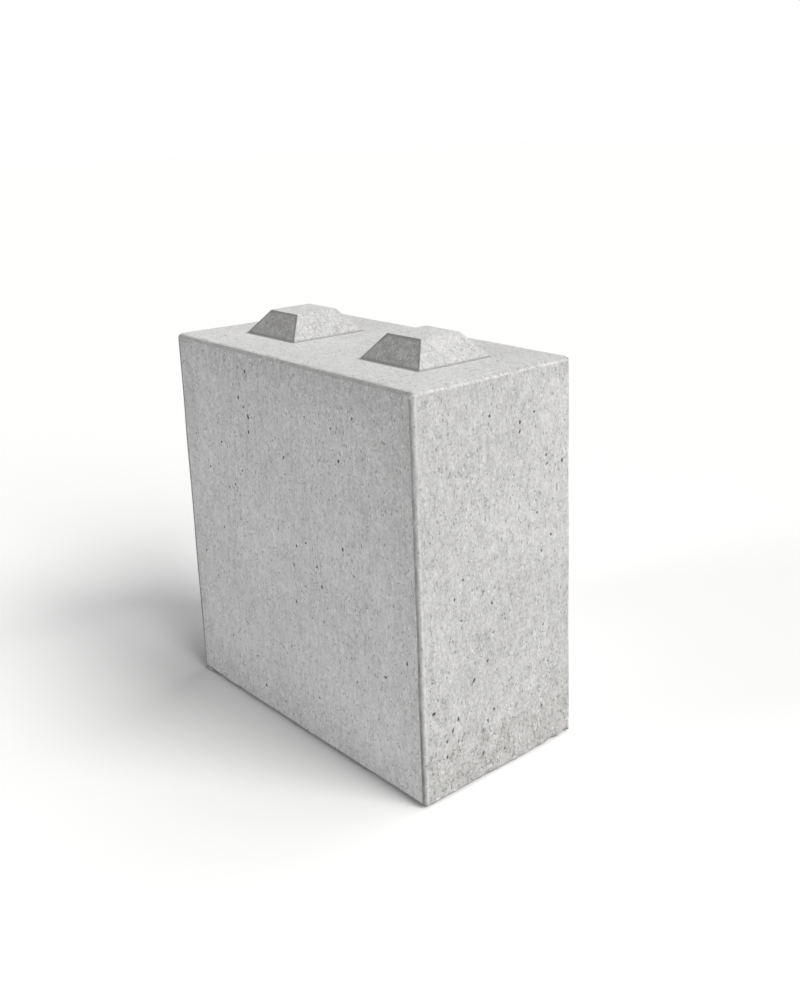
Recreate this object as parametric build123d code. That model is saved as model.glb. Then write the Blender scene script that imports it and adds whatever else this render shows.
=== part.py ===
from build123d import *
from math import atan2, degrees
import os

# An interlocking concrete block for stacked dry walls, cast whole in one steel mould.
# The two studs on its top go into the two pockets under the block that is set on it.
# Frame: X along the long face, Y across the thickness, Z up, origin at the bottom centre, in mm.

# The cast body: a plain rectangular block with a small chamfer on every arris.
block_length = 800.0
block_width = 400.0
block_height = 800.0
arris_chamfer = 8.0

# The studs: square and tapered so that they leave the mould, one over the middle of each half.
stud_pitch = 400.0
stud_base = 180.0
stud_top = 100.0
stud_height = 50.0
stud_edge_radius = 5.0

# The pockets: the studs' shape with the same taper, and with play all round and above.
stud_play = 15.0
pocket_edge_radius = 5.0

# Sizes that follow from those above.
taper_angle = degrees(atan2((stud_base - stud_top) / 2, stud_height))
pocket_mouth = stud_base + 2 * stud_play
pocket_depth = stud_height + stud_play
stud_places = [Location((side * stud_pitch / 2, 0, 0)) for side in (-1, 1)]


def tapered_square(foot_width, height, bottom, edge_radius):
    """A square frustum on the level `bottom`, with every edge above its foot rounded."""
    foot = Plane.XY.offset(bottom) * Rectangle(foot_width, foot_width)
    frustum = extrude(foot, height, dir=(0, 0, 1), taper=taper_angle)
    upper_edges = [edge for edge in frustum.edges() if edge.center().Z > bottom + edge_radius]
    return fillet(upper_edges, edge_radius)


def cast_body():
    """The rectangular block, standing on Z = 0, with all twelve arrises chamfered."""
    box = Box(block_length, block_width, block_height, align=(Align.CENTER, Align.CENTER, Align.MIN))
    return chamfer(box.edges(), arris_chamfer)


# The body, its studs and its pockets are one casting.
stud = tapered_square(stud_base, stud_height, block_height, stud_edge_radius)
pocket = tapered_square(pocket_mouth, pocket_depth, 0, pocket_edge_radius)
concrete_block = cast_body()
for place in stud_places:
    concrete_block += place * stud
    concrete_block -= place * pocket

os.makedirs("parts", exist_ok=True)
export_step(concrete_block, "parts/concrete_block.step")
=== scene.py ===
import math

import bpy
import numpy as np
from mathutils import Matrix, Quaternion, Vector


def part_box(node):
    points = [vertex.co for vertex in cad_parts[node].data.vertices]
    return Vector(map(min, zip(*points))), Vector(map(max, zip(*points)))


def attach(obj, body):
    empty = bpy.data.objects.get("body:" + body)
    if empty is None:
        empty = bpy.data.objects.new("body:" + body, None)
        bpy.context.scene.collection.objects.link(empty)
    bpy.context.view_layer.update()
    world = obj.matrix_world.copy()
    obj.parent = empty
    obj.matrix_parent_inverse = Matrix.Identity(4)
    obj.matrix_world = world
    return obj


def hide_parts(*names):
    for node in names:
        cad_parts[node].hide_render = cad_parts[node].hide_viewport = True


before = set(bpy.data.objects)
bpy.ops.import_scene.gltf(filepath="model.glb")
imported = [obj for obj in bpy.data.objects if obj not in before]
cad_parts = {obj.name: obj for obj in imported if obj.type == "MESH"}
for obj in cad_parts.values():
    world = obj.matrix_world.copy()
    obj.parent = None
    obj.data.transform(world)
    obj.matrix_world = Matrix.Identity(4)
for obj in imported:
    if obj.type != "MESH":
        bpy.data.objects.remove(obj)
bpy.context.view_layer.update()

# The faces of the cast body.
# One pour of grey concrete in a steel mould, so the six faces are flat. Air that was caught
# against the steel leaves small holes in them, the larger ones where the photograph shows them.
high_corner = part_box("concrete_block")[1]
stud_height = 0.050
stud_foot = 0.090
stud_corner = 0.003
pocket_mouth = 0.105
half_length = high_corner.x
half_width = high_corner.y
body_height = high_corner.z - stud_height
stud_place = half_length / 2
cell = 0.008
arris_rows = np.array([0.0, 0.004, 0.0070, 0.0079, 0.0090, 0.0125, 0.018])
casting_chance = np.random.default_rng(11)


def cut_points(breaks, step):
    """Coordinates from the first break to the last: each gap between two breaks is
    divided evenly into the fewest parts that are no longer than the step."""
    counts = np.ceil(np.diff(breaks) / step - 1e-6).astype(int)
    gaps = [np.linspace(start, end, count, endpoint=False)
            for start, end, count in zip(breaks[:-1], breaks[1:], counts)]
    return np.concatenate(gaps + [breaks[-1:]])


def grid_lines(start, end, stud_centres):
    """Lines across one side of the block: close together at both arrises, on the foot of each
    stud, beside its corners and on the mouth of each pocket, and about one cell apart between."""
    squares = [centre + side * half for centre in stud_centres
               for half in (stud_foot - stud_corner, stud_foot, pocket_mouth) for side in (-1, 1)]
    return cut_points(np.sort(np.concatenate([start + arris_rows, squares, end - arris_rows])), cell)


lines = [grid_lines(-half_length, half_length, (-stud_place, stud_place)),
         grid_lines(-half_width, half_width, (0.0,)),
         grid_lines(0.0, body_height, ())]

ring_steps = 16
ring_angle = np.arange(ring_steps) * 2 * np.pi / ring_steps
# Rings of an air hole: share of the radius, share of the depth, and share of painted shade in the hole.
hole_rings = np.array([1.35, 1.0, 0.78, 0.42])
hole_sink = np.array([0.0, 0.12, 0.72, 0.96])
hole_shade = np.array([0.0, 0.7, 1.0, 1.0])
block_rim = np.array([[2, 1], [2, 2], [1, 2], [0, 2], [0, 1], [0, 0], [1, 0], [2, 0]])
arris_gap = 0.024
full_block = 1.8 * cell
hole_room = 0.93 * cell
cell_margin = 0.0008
small_hole_least = 0.0007
small_hole_spread = 0.0018
small_hole_power = 3.5
small_hole_stretch = 0.6
hole_depths = (1.1, 1.9)
ripple_twofold = 0.10
ripple_threefold = 0.09
shade_least = 0.42
shade_rise = 120
placed_units = np.array([0.001, 0.001, 0.0005, 0.0005, 1.0])


def hole_triangles():
    """Triangles of one air hole: eight rim points of a block of two by two cells first, then
    four rings of sixteen points, then the bottom. The rim is joined to the first ring by a
    fan at each rim point, each ring to the next by two triangles a step."""
    rim = np.arange(len(block_rim))
    first_ring = len(block_rim)
    before, here, after = [first_ring + (2 * rim + shift) % ring_steps for shift in (-1, 0, 1)]
    next_rim = (rim + 1) % len(block_rim)
    fans = [np.stack([rim, here, before], 1), np.stack([rim, after, here], 1),
            np.stack([rim, next_rim, after], 1)]
    step = np.arange(ring_steps)
    next_step = (step + 1) % ring_steps
    walls = []
    for ring in range(len(hole_rings) - 1):
        outer = first_ring + ring * ring_steps
        inner = outer + ring_steps
        walls.append(np.stack([outer + step, outer + next_step, inner + next_step], 1))
        walls.append(np.stack([outer + step, inner + next_step, inner + step], 1))
    last = first_ring + (len(hole_rings) - 1) * ring_steps
    bottom = np.full(ring_steps, last + ring_steps)
    return np.concatenate(fans + walls + [np.stack([last + step, last + next_step, bottom], 1)])


def pick_holes(lines_a, lines_b, covered, placed, small_count):
    """Air holes of one face as columns: block indices, centre, long and short radius, lean and
    depth. The placed ones go to the block that their place falls in, and the small ones to
    free blocks drawn by chance, both kept clear of the arrises. Most small ones are near the
    least radius, because a power of the draw is added to it."""
    blocks_a, blocks_b = (len(lines_a) - 1) // 2, (len(lines_b) - 1) // 2
    middle_a, middle_b = lines_a[1:2 * blocks_a:2], lines_b[1:2 * blocks_b:2]
    cells = covered[:2 * blocks_a, :2 * blocks_b].reshape(blocks_a, 2, blocks_b, 2)
    free = ~cells.any(axis=(1, 3))
    free &= ((middle_a > lines_a[0] + arris_gap) & (middle_a < lines_a[-1] - arris_gap))[:, None]
    free &= ((middle_b > lines_b[0] + arris_gap) & (middle_b < lines_b[-1] - arris_gap))[None, :]
    free &= (lines_a[2:2 * blocks_a + 1:2] - lines_a[0:2 * blocks_a:2] > full_block)[:, None]
    free &= (lines_b[2:2 * blocks_b + 1:2] - lines_b[0:2 * blocks_b:2] > full_block)[None, :]
    placed = np.array(placed, float).reshape(-1, len(placed_units)) * placed_units
    placed_a = np.abs(middle_a[None, :] - placed[:, :1]).argmin(1)
    placed_b = np.abs(middle_b[None, :] - placed[:, 1:2]).argmin(1)
    kept = free[placed_a, placed_b]
    placed, placed_a, placed_b = placed[kept], placed_a[kept], placed_b[kept]
    free[placed_a, placed_b] = False
    small = casting_chance.permutation(np.argwhere(free))[:small_count]
    count = len(small)
    small_radius = small_hole_least + small_hole_spread * casting_chance.random(count) ** small_hole_power
    small_stretch = 1 + small_hole_stretch * casting_chance.random(count) ** 2
    reach = cell - hole_rings[0] * small_radius * small_stretch - cell_margin
    shift = casting_chance.uniform(-1, 1, (2, count)) * reach
    centre_a = np.concatenate([placed[:, 0], middle_a[small[:, 0]] + shift[0]])
    centre_b = np.concatenate([placed[:, 1], middle_b[small[:, 1]] + shift[1]])
    index_a = np.concatenate([placed_a, small[:, 0]])
    index_b = np.concatenate([placed_b, small[:, 1]])
    long_radius = np.concatenate([placed[:, 2], small_radius * small_stretch])
    short_radius = np.concatenate([placed[:, 3], small_radius])
    room = hole_room - hole_rings[0] * long_radius
    centre_a = middle_a[index_a] + np.clip(centre_a - middle_a[index_a], -room, room)
    centre_b = middle_b[index_b] + np.clip(centre_b - middle_b[index_b], -room, room)
    lean = np.concatenate([np.radians(placed[:, 4]), casting_chance.uniform(0, np.pi, count)])
    depth = short_radius * casting_chance.uniform(*hole_depths, len(short_radius))
    return index_a, index_b, centre_a, centre_b, long_radius, short_radius, lean, depth


def cast_face(axis_a, axis_b, level, covered_by, placed, small_count):
    """One flat face over the lines of two axes, whose cross product points out of the block.
    Each free cell is two triangles, and each air hole takes a block of two by two cells.
    A hole's ring point lies at the polar radius of a leaning ellipse times the ring's share,
    with a ripple of its own, and sinks by the ring's share of the depth."""
    axis_n = 3 - axis_a - axis_b
    lines_a, lines_b = lines[axis_a], lines[axis_b]
    outward = 1.0 if (axis_b - axis_a) % 3 == 1 else -1.0
    a, b = np.meshgrid(lines_a, lines_b, indexing="ij")
    centre = np.zeros((len(lines_a) - 1, len(lines_b) - 1, 3))
    centre[..., axis_a] = (a[1:, 1:] + a[:-1, :-1]) / 2
    centre[..., axis_b] = (b[1:, 1:] + b[:-1, :-1]) / 2
    covered = covered_by(centre)
    index_a, index_b, hole_a, hole_b, long_radius, short_radius, lean, depth = pick_holes(
        lines_a, lines_b, covered, placed, small_count)
    for step_a in (0, 1):
        for step_b in (0, 1):
            covered[2 * index_a + step_a, 2 * index_b + step_b] = True
    number = np.arange(a.size).reshape(a.shape)
    corners = [number[:-1, :-1], number[1:, :-1], number[1:, 1:], number[:-1, 1:]]
    c0, c1, c2, c3 = [corner[~covered] for corner in corners]
    cells = np.concatenate([np.stack([c0, c1, c2], 1), np.stack([c0, c2, c3], 1)])
    turn = ring_angle[None, :] - lean[:, None]
    polar = 1 / np.hypot(np.cos(turn) / long_radius[:, None], np.sin(turn) / short_radius[:, None])
    ripple_phase = casting_chance.uniform(0, 2 * np.pi, (len(lean), 2))
    polar *= (1 + ripple_twofold * np.sin(2 * ring_angle + ripple_phase[:, :1])
              + ripple_threefold * np.sin(3 * ring_angle + ripple_phase[:, 1:]))
    radius = polar[:, None, :] * hole_rings[None, :, None]
    ring_a = hole_a[:, None, None] + radius * np.cos(ring_angle)
    ring_b = hole_b[:, None, None] + radius * np.sin(ring_angle)
    ring_sink = np.broadcast_to((depth[:, None] * hole_sink)[:, :, None], ring_a.shape)
    ring_shade = np.broadcast_to(hole_shade[None, :, None], ring_a.shape)
    holes = len(lean)
    hole_points = len(hole_rings) * ring_steps + 1
    new_a = np.concatenate([ring_a.reshape(holes, -1), hole_a[:, None]], 1)
    new_b = np.concatenate([ring_b.reshape(holes, -1), hole_b[:, None]], 1)
    new_sink = np.concatenate([ring_sink.reshape(holes, -1), depth[:, None]], 1)
    # Painted shade in each hole: darker down it, and darker in the larger holes.
    new_shade = np.concatenate([ring_shade.reshape(holes, -1), np.ones((holes, 1))], 1)
    new_shade *= np.clip(shade_least + shade_rise * long_radius, 0, 1)[:, None]
    rim = number[2 * index_a[:, None] + block_rim[:, 0], 2 * index_b[:, None] + block_rim[:, 1]]
    own = a.size + np.arange(holes)[:, None] * hole_points + np.arange(hole_points)[None, :]
    hole_corners = np.concatenate([rim, own], 1)[:, hole_triangles()].reshape(-1, 3)
    points = np.empty((a.size + new_a.size, 3))
    points[:, axis_a] = np.concatenate([a.ravel(), new_a.ravel()])
    points[:, axis_b] = np.concatenate([b.ravel(), new_b.ravel()])
    points[:, axis_n] = level
    points[a.size:, axis_n] -= outward * new_sink.ravel()
    shade = np.concatenate([np.zeros(a.size), new_shade.ravel()])
    return points, np.concatenate([cells, hole_corners]), shade


def under_squares(half):
    """Tells which cells of the top or the underside lie inside the two squares round the studs."""
    def covered(centre):
        along_stud = np.abs(np.abs(centre[..., 0]) - stud_place)
        return np.maximum(along_stud, np.abs(centre[..., 1])) < half
    return covered


def bare(centre):
    """No cell of the face is taken by a stud or a pocket."""
    return np.zeros(centre.shape[:2], bool)


# Larger air holes: place along the face, height, length and width in mm, lean in degrees.
long_face_holes = [
    (-129, 657, 9, 6, 120), (-135, 623, 8, 4.5, 85), (227, 719, 5, 4, 60), (159, 692, 5, 3.5, 80),
    (181, 456, 8, 5, 100), (-257, 388, 6, 4, 95), (-197, 501, 5, 4, 20), (-164, 538, 5, 4, 10),
    (-248, 623, 5, 3, 90), (-351, 584, 5, 3, 80), (292, 750, 4, 3, 0), (20, 417, 6, 4, 70),
    (54, 434, 5, 4, 40), (103, 353, 7, 5, 100), (46, 341, 5, 3, 90), (210, 411, 5, 3, 120),
    (-192, 186, 5, 4, 30), (-254, 133, 5, 3, 80), (-19, 187, 5, 3, 45), (360, 284, 6, 4, 90),
    (-155, 114, 5, 4, 10), (203, 191, 5, 3, 70), (-57, 47, 5, 4, 60)]
end_face_holes = [
    (60, 699, 8, 4.5, 85), (57, 679, 9, 3.5, 65), (-20, 721, 6, 5, 30), (173, 597, 7, 5, 80),
    (128, 617, 5, 4, 60), (83, 522, 8, 4.5, 85), (105, 510, 5, 4, 70), (139, 451, 6, 4, 90),
    (-79, 223, 10, 5, 60), (-36, 241, 6, 5, 95), (-101, 351, 5, 4, 30), (-119, 397, 6, 4, 80),
    (-45, 385, 5, 4, 20), (-94, 429, 5, 4, 60), (14, 318, 5, 3, 90), (-173, 192, 8, 7, 60),
    (-116, 154, 9, 4.5, 85), (-128, 134, 9, 4, 75), (-143, 118, 7, 5, 50), (-84, 104, 9, 5, 20),
    (-144, 86, 7, 4, 90), (-51, 51, 7, 5, 60), (-38, 120, 7, 4.5, 80), (-21, 137, 6, 5, 90),
    (108, 96, 7, 4, 60), (119, 270, 5, 4, 45)]
faces = [cast_face(0, 2, -half_width, bare, long_face_holes, small_count=110),
         cast_face(2, 0, half_width, bare, [], small_count=120),
         cast_face(1, 2, half_length, bare, end_face_holes, small_count=90),
         cast_face(2, 1, -half_length, bare, [], small_count=80),
         cast_face(0, 1, body_height, under_squares(stud_foot), [], small_count=50),
         cast_face(1, 0, 0.0, under_squares(pocket_mouth), [], small_count=40)]

# The studs and the pockets.
# Both are square tapers that the mould forms on the top and its cores form in the underside,
# so that a stacked block drops over the studs of the one below.
stud_head = 0.050
taper_run = (stud_foot - stud_head) / stud_height
stud_levels = np.array([0, 1.5, 7.5, 17.5, 27.5, 37.5, 45, 48.5]) / 1000
stud_rim = np.array([(50.4, 49.4), (49.4, 49.9), (48, 50)]) / 1000
pocket_levels = np.array([0, 10, 25, 40, 55, 61]) / 1000
pocket_lip = np.array([103.9, 1.3]) / 1000
pocket_rim = np.array([(54.6, 62.9), (53.2, 64.2), (51.6, 64.9), (49.5, 65)]) / 1000
corner_power = 60


def taper_profile(foot, levels, rim):
    """Half widths and heights up a taper. At each level the half width is the foot's less the
    taper's run over that height, and the last few points go round the rim."""
    return np.concatenate([np.stack([foot - taper_run * levels, levels], 1), rim])


def tapered_square(profile, centre_x, base, outward):
    """A profile of half widths and heights carried round a square path, closed by a flat end.
    The path is the square of the grid lines at the foot. Above the foot its corners are
    pulled in by a high-power mean of both sides, which rounds the sloping edges."""
    foot = profile[0, 0]
    across = lines[1][np.abs(lines[1]) < foot + 1e-6] / foot
    sides = len(across) - 1
    a, b = np.meshgrid(across, across, indexing="ij")
    reach = np.maximum(np.maximum(np.abs(a), np.abs(b)), 1e-9)
    powers = (np.abs(a) / reach) ** corner_power + (np.abs(b) / reach) ** corner_power
    rounding = np.maximum(powers, 1.0) ** (-1 / corner_power)
    path = np.concatenate([np.stack([np.full(sides, sides), np.arange(sides)], 1),
                           np.stack([np.arange(sides, 0, -1), np.full(sides, sides)], 1),
                           np.stack([np.zeros(sides, int), np.arange(sides, 0, -1)], 1),
                           np.stack([np.arange(sides), np.zeros(sides, int)], 1)])
    path_a, path_b, path_round = [grid[path[:, 0], path[:, 1]] for grid in (a, b, rounding)]
    round_share = np.where(np.arange(len(profile)) == 0, 0.0, 1.0)[:, None]
    width = profile[:, :1] * (1 + round_share * (path_round - 1))
    rise = np.broadcast_to(profile[:, 1:], width.shape)
    rings = np.stack([centre_x + width * path_a, width * path_b, base + rise], 2)
    cap_width = profile[-1, 0] * rounding
    cap = np.stack([centre_x + cap_width * a, cap_width * b, np.full(a.shape, base + profile[-1, 1])], 2)
    steps = len(path)
    ring, step = np.meshgrid(np.arange(len(profile) - 1), np.arange(steps), indexing="ij")
    r0, r1 = ring * steps + step, ring * steps + (step + 1) % steps
    quads = np.stack([r0, r1, r1 + steps, r0 + steps], 2).reshape(-1, 4)
    number = len(profile) * steps + np.arange(a.size).reshape(a.shape)
    flat = np.stack([number[:-1, :-1], number[1:, :-1], number[1:, 1:], number[:-1, 1:]], 2).reshape(-1, 4)
    quads = np.concatenate([quads, flat])
    triangles = np.concatenate([quads[:, [0, 1, 2]], quads[:, [0, 2, 3]]])
    points = np.concatenate([rings.reshape(-1, 3), cap.reshape(-1, 3)])
    return points, triangles if outward else triangles[:, ::-1], np.zeros(len(points))


stud_profile = taper_profile(stud_foot, stud_levels, stud_rim)
pocket_taper = taper_profile(pocket_mouth, pocket_levels, pocket_rim)
pocket_profile = np.insert(pocket_taper, 1, pocket_lip, axis=0)
tapers = [tapered_square(stud_profile, side * stud_place, body_height, True) for side in (-1, 1)]
tapers += [tapered_square(pocket_profile, side * stud_place, 0.0, False) for side in (-1, 1)]

# The arrises of the block.
# Strips in the mould's corners leave every arris cut at 45 degrees, and handling has knocked
# small chips out, most of them at the bottom, where the block is set down. The arrises are
# numbered 0 to 3 upright, 4 to 7 along the block and 8 to 11 across it, the bottom ones even.
chamfer = 0.008
arris_soft = 0.0009
arris_chance = np.random.default_rng(23)
wobble_length = np.array([0.19, 0.083, 0.041, 0.024])
wobble_size = np.array([0.0005, 0.00045, 0.0004, 0.00035])
wobble_phase = arris_chance.uniform(0, 2 * np.pi, len(wobble_length))
foot_height = 0.03
foot_roughness = 0.8
upper_roughness = 0.10
arris_spacing = 3.0
arris_count = 12
bottom_arrises = (4, 6, 8, 10)
clean_arrises = (0, 2)
end_top_arris = 11
chip_count = 60
chip_least = 0.001
chip_spread = 0.0035
chip_bared = 0.003
chip_share = np.where(np.isin(np.arange(arris_count), bottom_arrises), 0.17, 0.05)
chip_share[np.isin(np.arange(arris_count), clean_arrises)] = 0.01
chip_arris = arris_chance.choice(arris_count, chip_count, p=chip_share)
chip_along = arris_chance.uniform(-half_length, body_height, chip_count)
chip_half_length = arris_chance.uniform(0.006, 0.018, chip_count)
chip_depth = chip_least + chip_spread * arris_chance.random(chip_count) ** 2

# One chip is set where the photograph has it, on the top arris of the near end.
chip_arris[0] = end_top_arris
chip_along[0] = 0.05
chip_half_length[0] = 0.014
chip_depth[0] = 0.004


def arris_width(along, arris, roughness):
    """Width of the chamfer along an arris: the strip's width, plus four sine waves scaled by
    the roughness, plus a parabola for the deepest chip that lies there."""
    run = along + arris_spacing * arris
    wobble = np.sin(run[:, None] * 2 * np.pi / wobble_length + wobble_phase) @ wobble_size
    chip_run = chip_along + arris_spacing * chip_arris
    chips = 1 - ((run[:, None] - chip_run) / chip_half_length) ** 2
    return chamfer + roughness * wobble + (chip_depth * np.clip(chips, 0, None)).max(1)


def soft_step(missing):
    """Nothing below minus the softness, the value itself above it, and a parabola between."""
    middle = (missing + arris_soft) ** 2 / (4 * arris_soft)
    return np.where(missing < -arris_soft, 0.0, np.where(missing > arris_soft, missing, middle))


def cut_arrises(points):
    """Moves points in from the sharp arrises. Where a point's distances in from two faces add up
    to less than the chamfer there, both distances grow by half of what is missing. Also gives
    how far each point is chipped."""
    size = np.array([half_length, half_width, body_height / 2])
    middle = np.array([0.0, 0.0, body_height / 2])
    offset = points - middle
    side = np.where(offset < 0, -1.0, 1.0)
    inset = size - np.abs(offset)
    roughness = np.where(points[:, 2] < foot_height, foot_roughness, upper_roughness)
    chipped = np.zeros(len(points))
    for sweep in range(2):
        for pair, (first, second, along) in enumerate(((0, 1, 2), (1, 2, 0), (0, 2, 1))):
            arris = 4 * pair + (side[:, first] > 0) * 2 + (side[:, second] > 0)
            width = arris_width(points[:, along], arris, roughness)
            missing = soft_step(width - inset[:, first] - inset[:, second])
            inset[:, first] += missing / 2
            inset[:, second] += missing / 2
            bared = (width - chamfer - chip_least) / chip_bared
            chipped = np.maximum(chipped, np.where(missing > 0, bared, 0))
    return middle + side * (size - inset), np.clip(chipped, 0, 1)


# The whole casting as one closed mesh.
# The mould's plates are stiff but not true, so the faces swell by a fraction of a millimetre.
swell_count = 14
swell_length = 0.35
swell_size = 0.00011
least_area = 1e-12
crease_angle = math.radians(38)
parts = faces + tapers
starts = np.cumsum([0] + [len(part[0]) for part in parts])
points = np.concatenate([part[0] for part in parts])
triangles = np.concatenate([part[1] + start for part, start in zip(parts, starts)])
air_hole_shade = np.concatenate([part[2] for part in parts])
on_face = np.arange(len(points)) < starts[len(faces)]
used, triangles = np.unique(triangles, return_inverse=True)
triangles = triangles.reshape(-1, 3)
points, air_hole_shade, on_face = points[used], air_hole_shade[used], on_face[used]
microns = np.round(points * 1e6).astype(np.int64)
first, welded = np.unique(microns, axis=0, return_index=True, return_inverse=True)[1:]
triangles = welded.reshape(-1)[triangles]
points, air_hole_shade, on_face = points[first], air_hole_shade[first], on_face[first]
chipped = np.zeros(len(points))
points[on_face], chipped[on_face] = cut_arrises(points[on_face])
swell_chance = np.random.default_rng(5)
swell_waves = swell_chance.normal(0, 1, (3, swell_count)) * 2 * np.pi / swell_length
swell_phase = swell_chance.uniform(0, 2 * np.pi, swell_count)
swell_push = swell_chance.normal(0, swell_size, (swell_count, 3))
points += np.sin(points @ swell_waves + swell_phase) @ swell_push
points[:, 2] = np.maximum(points[:, 2], 0.0)
corner = points[triangles]
area = np.linalg.norm(np.cross(corner[:, 1] - corner[:, 0], corner[:, 2] - corner[:, 0]), axis=1)
triangles = triangles[area > least_area]

block_mesh = bpy.data.meshes.new("cast_block")
block_mesh.vertices.add(len(points))
block_mesh.vertices.foreach_set("co", points.astype(np.float32).ravel())
block_mesh.loops.add(triangles.size)
block_mesh.loops.foreach_set("vertex_index", triangles.astype(np.int32).ravel())
block_mesh.polygons.add(len(triangles))
block_mesh.polygons.foreach_set("loop_start", np.arange(0, triangles.size, 3, dtype=np.int32))
block_mesh.polygons.foreach_set("use_smooth", np.ones(len(triangles), bool))
block_mesh.update(calc_edges=True)
block_mesh.set_sharp_from_angle(angle=crease_angle)
for name, values in (("air_hole_shade", air_hole_shade), ("chipped", chipped), ("taper", ~on_face)):
    block_mesh.attributes.new(name, "FLOAT", "POINT").data.foreach_set("value", values.astype(np.float32))
cast_block = bpy.data.objects.new("cast_block", block_mesh)
bpy.context.scene.collection.objects.link(cast_block)

# The concrete itself.
# Grey cement and sand, cloudy where it set unevenly, scored upright where the mould was drawn off
# and flecked with pale grains. Grout seeped out round the long side panels and left a dark line, which
# painted shade deepens. Light and shade are also painted in: lighter tops, darker stud sides and stud
# feet, pale highlights on some arrises, a dark foot and dark air holes.
concrete = bpy.data.materials.new("cast_concrete")
concrete.use_nodes = True
nodes = concrete.node_tree.nodes
links = concrete.node_tree.links
nodes.clear()


def noise(vector, scale, detail, roughness, distortion=0.0):
    """A noise field over the given coordinates, in waves per metre."""
    field = nodes.new("ShaderNodeTexNoise")
    settings = (("Scale", scale), ("Detail", detail), ("Roughness", roughness), ("Distortion", distortion))
    for name, number in settings:
        field.inputs[name].default_value = number
    links.new(vector, field.inputs["Vector"])
    return field.outputs["Fac"]


def scaled(value, low, high, to_low, to_high):
    """The value carried from one range to another, and held at its ends."""
    span = nodes.new("ShaderNodeMapRange")
    for name, number in (("From Min", low), ("From Max", high), ("To Min", to_low), ("To Max", to_high)):
        span.inputs[name].default_value = number
    links.new(value, span.inputs["Value"])
    return span.outputs["Result"]


def combine(operation, first, second=0.0):
    """Two fields, or a field and a number, put together by one arithmetic step."""
    step = nodes.new("ShaderNodeMath")
    step.operation = operation
    for socket, value in zip(step.inputs, (first, second)):
        if isinstance(value, (int, float)):
            socket.default_value = value
        else:
            links.new(value, socket)
    return step.outputs["Value"]


def combine_all(operation, first, others):
    """Several fields or numbers put together, one after another, by the same arithmetic step."""
    for other in others:
        first = combine(operation, first, other)
    return first


def product(first, *others):
    """Several fields or numbers multiplied together."""
    return combine_all("MULTIPLY", first, others)


def total(first, *others):
    """Several fields or numbers added together."""
    return combine_all("ADD", first, others)


def most(first, *others):
    """The largest of several fields or numbers."""
    return combine_all("MAXIMUM", first, others)


def size_of(value):
    """A field without its sign."""
    return combine("ABSOLUTE", value)


def gap(first, second):
    """How far two fields, or a field and a number, are apart."""
    return size_of(combine("SUBTRACT", first, second))


def blend(share, first, second, way="MIX"):
    """A colour with a share of a plain one mixed in, or laid over it as a tint."""
    mix = nodes.new("ShaderNodeMix")
    mix.data_type = "RGBA"
    mix.blend_type = way
    links.new(share, mix.inputs["Factor"])
    links.new(first, mix.inputs[6])
    mix.inputs[7].default_value = (*second, 1.0)
    return mix.outputs[2]


def stretched(vector, height_share):
    """The coordinates with the height shrunk, so that what is drawn on them stands tall."""
    mapping = nodes.new("ShaderNodeMapping")
    mapping.inputs["Scale"].default_value = (1.0, 1.0, height_share)
    links.new(vector, mapping.inputs["Vector"])
    return mapping.outputs["Vector"]


def drifted(vector, scale, reach):
    """The coordinates pushed about by a noise in three directions, as far as the reach."""
    drift = nodes.new("ShaderNodeTexNoise")
    drift.inputs["Scale"].default_value = scale
    links.new(vector, drift.inputs["Vector"])
    push = nodes.new("ShaderNodeVectorMath")
    push.operation = "MULTIPLY_ADD"
    links.new(drift.outputs["Color"], push.inputs[0])
    push.inputs[1].default_value = (reach, reach, reach)
    links.new(vector, push.inputs[2])
    return push.outputs["Vector"]


def marks(vector, scale, share, radius):
    """Scattered marks: 1 near the points of a random lattice, so many to the metre, 0 beyond the
    radius, which is a share of their spacing, and only round a share of the points."""
    lattice = nodes.new("ShaderNodeTexVoronoi")
    lattice.inputs["Scale"].default_value = scale
    links.new(vector, lattice.inputs["Vector"])
    draw = nodes.new("ShaderNodeSeparateColor")
    links.new(lattice.outputs["Color"], draw.inputs["Color"])
    near = scaled(lattice.outputs["Distance"], 0.7 * radius, radius, 1.0, 0.0)
    return product(near, combine("LESS_THAN", draw.outputs["Red"], share))


def attribute(name):
    """A value that the mesh carries on its points."""
    source = nodes.new("ShaderNodeAttribute")
    source.attribute_name = name
    return source.outputs["Fac"]


def band(value, start, full, end, gone):
    """0 up to the start, rising to 1 at full, 1 up to the end, and 0 again when gone."""
    return product(scaled(value, start, full, 0.0, 1.0), scaled(value, end, gone, 1.0, 0.0))


# Where a point lies on the block, and which way the surface faces there.
place = nodes.new("ShaderNodeTexCoord").outputs["Object"]
axes = nodes.new("ShaderNodeSeparateXYZ")
links.new(place, axes.inputs["Vector"])
along, across, height = axes.outputs["X"], axes.outputs["Y"], axes.outputs["Z"]
facing = nodes.new("ShaderNodeSeparateXYZ")
links.new(nodes.new("ShaderNodeNewGeometry").outputs["True Normal"], facing.inputs["Vector"])
facing_x = size_of(facing.outputs["X"])
facing_y = size_of(facing.outputs["Y"])
facing_z = facing.outputs["Z"]
taper = attribute("taper")
up_face = scaled(facing_z, 0.80, 0.98, 0.0, 1.0)
long_face = scaled(facing_y, 0.75, 0.95, 0.0, 1.0)
end_face = scaled(facing_x, 0.75, 0.95, 0.0, 1.0)
slope = scaled(facing_z, 0.80, 0.98, 1.0, 0.0)
slope_side = scaled(facing_y, 0.3, 0.6, 0.0, 1.0)
end_slope = product(taper, slope, combine("SUBTRACT", 1.0, slope_side))
from_long_face = combine("SUBTRACT", half_width, size_of(across))
from_end = combine("SUBTRACT", half_length, size_of(along))
from_top = combine("SUBTRACT", body_height, height)
from_others = combine("MINIMUM", from_end, combine("MINIMUM", height, from_top))
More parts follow.
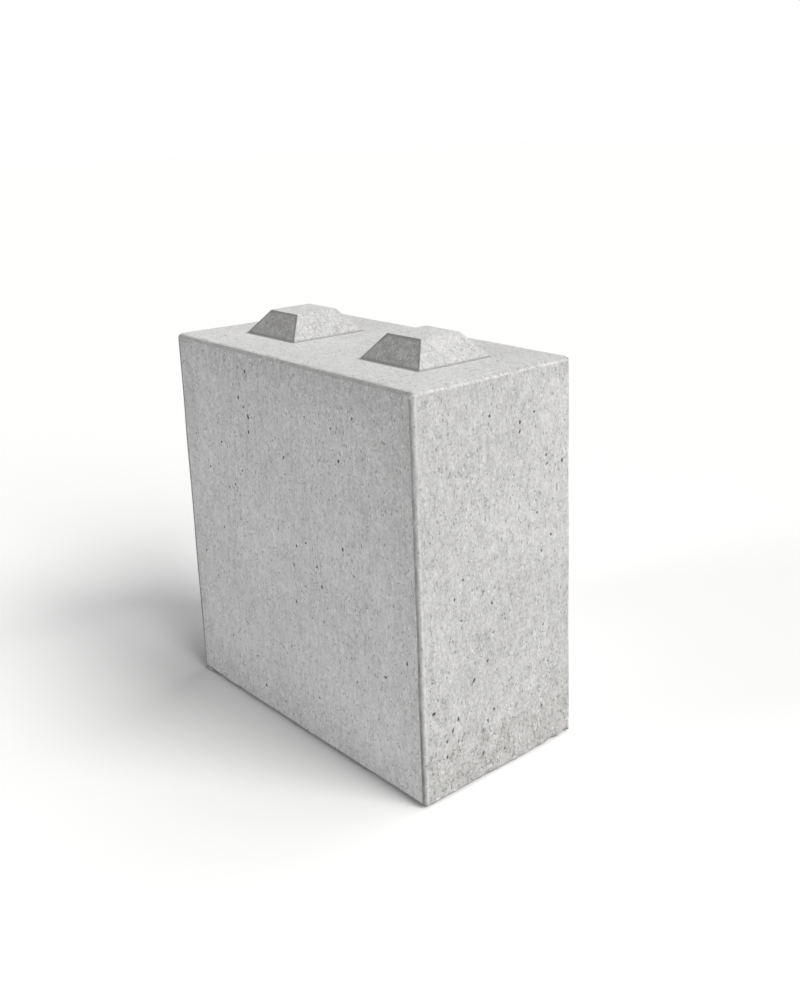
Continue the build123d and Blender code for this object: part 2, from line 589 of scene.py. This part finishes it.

# The tone of the paste: clouds, blotches, mottle, sand and upright streaks, then what each face adds.
# Some of that is painted light and shade: the up-facing faces lighter, the stud ends a little darker,
# and the long faces lighter low down, where less light comes up from the floor.
uneven = drifted(place, 120.0, 0.007)
clouds = noise(place, 5.0, 3.0, 0.5)
blotches = noise(place, 30.0, 3.0, 0.55)
mottle = noise(stretched(place, 0.62), 95.0, 2.0, 0.6, 0.6)
sand = noise(stretched(place, 0.62), 240.0, 2.0, 0.7, 0.4)
streaks = noise(stretched(uneven, 0.16), 150.0, 2.0, 0.6)
end_band = band(height, 0.30, 0.60, 0.72, 0.84)
tone = total(scaled(clouds, 0.3, 0.7, 0.43, 0.57),
             scaled(blotches, 0.25, 0.75, -0.10, 0.10),
             scaled(mottle, 0.2, 0.8, -0.17, 0.17),
             scaled(sand, 0.15, 0.85, -0.40, 0.40),
             scaled(streaks, 0.2, 0.8, -0.16, 0.16),
             # Painted light: the up-facing faces lighter and the stud ends a little darker.
             product(up_face, 0.18),
             product(end_slope, -0.02),
             product(end_face, scaled(from_top, 0.008, 0.035, -0.08, 0.0)),
             product(end_face, end_band, scaled(across, -0.05, 0.15, 0.03, 0.13)),
             # Painted light: the long faces lighter low down, where less light comes up from the floor.
             product(long_face, scaled(height, 0.45, 0.80, 0.16, 0.0)),
             product(long_face, scaled(height, 0.05, 0.35, 0.05, 0.0)),
             product(long_face, scaled(from_others, 0.01, 0.10, -0.11, 0.0)))
cement = nodes.new("ShaderNodeValToRGB")
dark_cement, pale_cement = cement.color_ramp.elements
dark_cement.position = 0.0
dark_cement.color = (0.328, 0.327, 0.3245, 1.0)
pale_cement.position = 1.0
pale_cement.color = (0.735, 0.732, 0.727, 1.0)
links.new(tone, cement.inputs["Fac"])
# Pale dust on the up-facing faces, and painted light that makes them lighter still.
dust_and_top_light = (0.80, 0.798, 0.793)
colour = blend(product(up_face, 0.15), cement.outputs["Color"], dust_and_top_light)

# Pale grains and strokes, dark strokes, and pits.
pale_grain = (0.79, 0.788, 0.782)
dark_grain = (0.22, 0.218, 0.215)
pit_shade = (0.20, 0.198, 0.195)
end_foot = product(end_face, scaled(height, 0.08, 0.24, 1.0, 0.0))
stroke_share = total(product(end_face, 0.12), product(end_foot, 0.16), 0.36)
pit_share = total(product(end_face, 0.08), product(end_foot, 0.10), 0.26)
pale_stroke = marks(stretched(uneven, 0.42), 150.0, 0.36, 0.28)
fleck = marks(uneven, 210.0, 0.34, 0.30)
dark_stroke = marks(stretched(uneven, 0.38), 125.0, stroke_share, 0.23)
pit = marks(stretched(uneven, 0.70), 170.0, pit_share, 0.30)
quiet = scaled(end_slope, 0.0, 1.0, 1.0, 0.7)
colour = blend(product(pale_stroke, quiet, 0.60), colour, pale_grain)
colour = blend(product(fleck, quiet, 0.60), colour, pale_grain)
colour = blend(product(dark_stroke, quiet, 0.60), colour, dark_grain)
colour = blend(product(pit, quiet, 0.70), colour, pit_shade)

# Short curved hairlines where the skin of paste crazed, most of them on the ends and the studs.
hairline_shade = (0.24, 0.238, 0.235)
craze = noise(stretched(uneven, 0.70), 85.0, 1.0, 0.5, 1.2)
craze_patch = scaled(noise(place, 48.0, 2.0, 0.6), 0.48, 0.56, 0.0, 1.0)
hairline = product(scaled(gap(craze, 0.5), 0.010, 0.030, 1.0, 0.0), craze_patch)
craze_share = most(product(end_face, scaled(height, 0.20, 0.75, 0.70, 0.50)), product(taper, 0.35), 0.20)
colour = blend(product(hairline, craze_share), colour, hairline_shade)

# Painted shade: the sloping sides of the studs and pockets are darker, most of all those along the block
# and on the far stud, with darker patches on them.
side_shade_tint = (0.59, 0.587, 0.58)
edge_shade = (0.17, 0.168, 0.165)
painted_side_shade = product(taper, slope, slope_side)
colour = blend(product(painted_side_shade, scaled(along, -0.25, 0.25, 1.0, 0.87)), colour, side_shade_tint, "MULTIPLY")
colour = blend(product(painted_side_shade, scaled(mottle, 0.40, 0.60, 0.18, 0.0)), colour, edge_shade)

# Darker along the edges of those sides, and painted shade in the corner where each stud meets the top.
on_top = scaled(height, body_height - 0.003, body_height - 0.001, 0.0, 1.0)
from_stud = gap(size_of(along), stud_place)
edge_gap = combine("SUBTRACT", size_of(across), from_stud)
head_gap = combine("SUBTRACT", body_height + stud_height, height)
stud_edge = most(scaled(edge_gap, 0.0040, 0.0090, 0.60, 0.0), scaled(head_gap, 0.0030, 0.0060, 0.60, 0.0))
colour = blend(product(stud_edge, painted_side_shade, on_top), colour, edge_shade)
foot_gap = gap(most(from_stud, size_of(across)), stud_foot)
side_gap = gap(size_of(across), stud_foot)
side_crease_shade = product(scaled(side_gap, 0.0025, 0.0065, 0.75, 0.0),
                    scaled(from_stud, stud_foot - 0.002, stud_foot + 0.001, 1.0, 0.0))
stud_crease_shade = product(most(scaled(foot_gap, 0.0010, 0.0035, 0.6, 0.0), side_crease_shade), on_top,
                    scaled(height, body_height + 0.003, body_height + 0.006, 1.0, 0.0))
colour = blend(stud_crease_shade, colour, pit_shade)

# Coarse gravel shows low on one end, where the paste ran out of the mould's joint.
lean_paste = (0.93, 0.928, 0.925)
dark_stone = (0.60, 0.597, 0.59)
pale_stone = (0.76, 0.757, 0.75)
rim_shade = (0.22, 0.217, 0.211)
patch_edge = total(height, scaled(blotches, 0.3, 0.7, -0.05, 0.05))
coarse = product(scaled(patch_edge, 0.07, 0.17, 1.0, 0.0), scaled(along, 0.386, 0.392, 0.0, 1.0))
gravel = nodes.new("ShaderNodeTexVoronoi")
gravel.inputs["Scale"].default_value = 80.0
links.new(drifted(uneven, 55.0, 0.016), gravel.inputs["Vector"])
stone_draw = nodes.new("ShaderNodeSeparateColor")
links.new(gravel.outputs["Color"], stone_draw.inputs["Color"])
stone_rim = product(band(gravel.outputs["Distance"], 0.30, 0.38, 0.42, 0.54), coarse,
                    scaled(mottle, 0.50, 0.58, 0.0, 0.75))
stone = product(scaled(gravel.outputs["Distance"], 0.25, 0.45, 1.0, 0.0), coarse)
dark_share = product(stone, scaled(stone_draw.outputs["Red"], 0.4, 0.0, 0.0, 0.8))
pale_share = product(stone, scaled(stone_draw.outputs["Red"], 0.6, 1.0, 0.0, 0.5))
colour = blend(coarse, colour, lean_paste, "MULTIPLY")
colour = blend(dark_share, colour, dark_stone, "MULTIPLY")
colour = blend(pale_share, colour, pale_stone)
colour = blend(stone_rim, colour, rim_shade)

# A dark line along the arrises of the long faces: grout where the long panels met, and painted shade
# as well, which also covers the top arris and is strongest low down.
dark_line_colour = (0.18, 0.177, 0.173)
seam_place = total(from_others, scaled(blotches, 0.25, 0.75, -0.0004, 0.0004))
seam_place = combine("SUBTRACT", seam_place, scaled(along, -0.36, -0.30, 0.0042, 0.0))
grout_and_shade_line = product(band(seam_place, 0.0030, 0.0066, 0.0088, 0.0104),
               scaled(from_top, 0.011, 0.014, 0.0, 1.0), scaled(blotches, 0.3, 0.7, 0.55, 0.90))
top_chamfer_shade = product(scaled(facing_z, 0.2, 0.6, 0.0, 1.0), scaled(blotches, 0.3, 0.7, 0.46, 0.66))
grout_and_shade_line = product(most(grout_and_shade_line, top_chamfer_shade), scaled(from_long_face, 0.008, 0.010, 1.0, 0.0),
               scaled(height, 0.05, 0.40, 1.35, 1.0))
colour = blend(grout_and_shade_line, colour, dark_line_colour)

# Pale wear and a painted highlight beside that line and along the top arris of each end, painted shade on
# the inner part of that arris, and a dark line on the top beside the far end.
wear_and_highlight = (0.78, 0.778, 0.772)
chamfer_shade_tint = (0.90, 0.899, 0.896)
end_arris = product(facing_x, scaled(facing_z, 0.3, 0.7, 0.0, 1.0), combine("SUBTRACT", 1.0, taper))
end_arris = scaled(end_arris, 0.3, 0.6, 0.0, 1.0)
inner_chamfer_shade = product(end_arris, scaled(from_end, 0.0025, 0.0055, 0.0, 1.0))
colour = blend(inner_chamfer_shade, colour, chamfer_shade_tint, "MULTIPLY")
end_wear_highlight = product(end_arris, band(from_end, 0.0002, 0.0010, 0.0034, 0.0048),
                   scaled(blotches, 0.3, 0.7, 0.14, 0.24))
long_wear_highlight = product(band(from_long_face, 0.0052, 0.0064, 0.0084, 0.0096),
                    scaled(from_others, 0.002, 0.004, 1.0, 0.0), scaled(blotches, 0.35, 0.65, 0.35, 0.75))
far_line = product(up_face, scaled(along, 0.0085 - half_length, 0.0130 - half_length, 0.6, 0.0),
                   scaled(blotches, 0.44, 0.54, 0.0, 1.0))
colour = blend(far_line, colour, dark_line_colour)
colour = blend(most(long_wear_highlight, end_wear_highlight), colour, wear_and_highlight)

# Painted shade along the foot, the bared insides of chips, and painted shade in the air holes.
foot_shade_colour = (0.17, 0.163, 0.155)
bared_paste = (0.42, 0.416, 0.407)
hole_shade_colour = (0.09, 0.089, 0.087)
foot_shade = product(scaled(height, 0.003, 0.008, 1.0, 0.0), scaled(blotches, 0.3, 0.7, 0.6, 1.0),
                    scaled(facing_y, 0.3, 0.6, 0.75, 0.60))
colour = blend(foot_shade, colour, foot_shade_colour)
colour = blend(product(attribute("chipped"), 0.5), colour, bared_paste)
colour = blend(product(attribute("air_hole_shade"), 0.86), colour, hole_shade_colour)

# Fine relief that is too small for the mesh, and the matt surface.
relief = total(sand,
               product(mottle, 0.7),
               product(most(dark_stroke, pit), -0.9),
               product(hairline, -0.5),
               product(most(pale_stroke, fleck), 0.3),
               product(combine("SUBTRACT", stone, stone_rim), 1.2))
bump = nodes.new("ShaderNodeBump")
bump.inputs["Strength"].default_value = 0.4
bump.inputs["Distance"].default_value = 0.0012
links.new(relief, bump.inputs["Height"])
surface = nodes.new("ShaderNodeBsdfPrincipled")
surface.inputs["Specular IOR Level"].default_value = 0.25
links.new(colour, surface.inputs["Base Color"])
links.new(scaled(mottle, 0.2, 0.8, 0.82, 0.97), surface.inputs["Roughness"])
links.new(bump.outputs["Normal"], surface.inputs["Normal"])
output = nodes.new("ShaderNodeOutputMaterial")
links.new(surface.outputs["BSDF"], output.inputs["Surface"])
block_mesh.materials.append(concrete)
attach(cast_block, "root")
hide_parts("concrete_block")

# The floor.
# A white studio floor that runs on without an edge. Where it is seen its paint is whiter than
# where it throws light on the block, so that it meets the white room with no horizon.
floor_half = 30.0
floor_drop = 0.0004
floor_mesh = bpy.data.meshes.new("studio_floor")
floor_mesh.from_pydata([(-floor_half, -floor_half, -floor_drop), (floor_half, -floor_half, -floor_drop),
                        (floor_half, floor_half, -floor_drop), (-floor_half, floor_half, -floor_drop)],
                       [], [(0, 1, 2, 3)])
studio_floor = bpy.data.objects.new("studio_floor", floor_mesh)
bpy.context.scene.collection.objects.link(studio_floor)


def seen_plainly(tree, lit, shown):
    """One shader for the light that falls on the block, another for what is seen directly,
    in a reflection or through glass."""
    rays = tree.nodes.new("ShaderNodeLightPath")
    share = rays.outputs["Is Camera Ray"]
    for kind in ("Is Glossy Ray", "Is Transmission Ray"):
        either = tree.nodes.new("ShaderNodeMath")
        either.operation = "MAXIMUM"
        tree.links.new(share, either.inputs[0])
        tree.links.new(rays.outputs[kind], either.inputs[1])
        share = either.outputs["Value"]
    choice = tree.nodes.new("ShaderNodeMixShader")
    tree.links.new(share, choice.inputs["Fac"])
    tree.links.new(lit, choice.inputs[1])
    tree.links.new(shown, choice.inputs[2])
    return choice.outputs["Shader"]


floor_paint = bpy.data.materials.new("floor_paint")
floor_paint.use_nodes = True
paint_tree = floor_paint.node_tree
paint_tree.nodes.clear()
dull_paint = paint_tree.nodes.new("ShaderNodeBsdfDiffuse")
dull_paint.inputs["Color"].default_value = (0.60, 0.60, 0.60, 1.0)
white_paint = paint_tree.nodes.new("ShaderNodeBsdfDiffuse")
white_paint.inputs["Color"].default_value = (0.99, 0.99, 0.99, 1.0)
paint_output = paint_tree.nodes.new("ShaderNodeOutputMaterial")
paint_tree.links.new(seen_plainly(paint_tree, dull_paint.outputs["BSDF"], white_paint.outputs["BSDF"]),
                     paint_output.inputs["Surface"])
floor_mesh.materials.append(floor_paint)

# The light.
# One broad lamp before the end face, one further round behind it, a high one behind the block,
# a low one in front of the long face, and a dim room, which is plain white where it is seen.


def soft_sun(name, azimuth, elevation, strength, spread, colour):
    """A lamp far away, as wide as the spread. Azimuth 0 stands before the long face and 90
    before the end face; all angles are in degrees."""
    around, above = math.radians(azimuth), math.radians(elevation)
    level = math.cos(above)
    towards = Vector((math.sin(around) * level, -math.cos(around) * level, math.sin(above)))
    lamp = bpy.data.lights.new(name, "SUN")
    lamp.energy = strength
    lamp.color = colour
    lamp.angle = math.radians(spread)
    lamp_object = bpy.data.objects.new(name, lamp)
    lamp_object.rotation_mode = "QUATERNION"
    lamp_object.rotation_quaternion = towards.to_track_quat("Z", "Y")
    bpy.context.scene.collection.objects.link(lamp_object)


warm_white = (1.0, 0.995, 0.983)
plain_white = (0.998, 1.0, 0.998)
cool_white = (0.974, 0.987, 1.0)
soft_sun("side_lamp", 85, 30.5, 1.556, 30, warm_white)
soft_sun("back_lamp", 110, 45, 1.672, 24, warm_white)
soft_sun("high_lamp", 162, 65, 1.057, 37, plain_white)
soft_sun("front_lamp", -23, 9, 1.327, 18, cool_white)
room = bpy.data.worlds.new("studio_room")
room.use_nodes = True
bpy.context.scene.world = room
room_tree = room.node_tree
room_tree.nodes.clear()
dim = room_tree.nodes.new("ShaderNodeBackground")
dim.inputs["Strength"].default_value = 0.02
white = room_tree.nodes.new("ShaderNodeBackground")
white.inputs["Color"].default_value = (1.0, 1.0, 1.0, 1.0)
room_output = room_tree.nodes.new("ShaderNodeOutputWorld")
room_tree.links.new(seen_plainly(room_tree, dim.outputs["Background"], white.outputs["Background"]),
                    room_output.inputs["Surface"])

# The camera.
# It stands off the near corner, a little above the studs, as the photograph does. The lens is
# shifted down and left a little, because the photograph's upright edges stay nearly upright.
eye = Vector((1.8477, -1.3926, 1.2604))
aim = Vector((0.1512, 0.1891, 0.6717))
picture_height = 1000
focal_pixels = 1142.9
camera_roll = math.radians(-1.113)
lens = bpy.data.cameras.new("photo_camera")
lens.lens = focal_pixels / picture_height * lens.sensor_width
lens.shift_x = -0.080
lens.shift_y = -0.100
photo_camera = bpy.data.objects.new("photo_camera", lens)
photo_camera.location = eye
photo_camera.rotation_mode = "QUATERNION"
level_view = (aim - eye).to_track_quat("-Z", "Y")
photo_camera.rotation_quaternion = level_view @ Quaternion((0, 0, 1), camera_roll)
bpy.context.scene.collection.objects.link(photo_camera)
bpy.context.scene.camera = photo_camera
bpy.context.scene.view_settings.view_transform = "Standard"
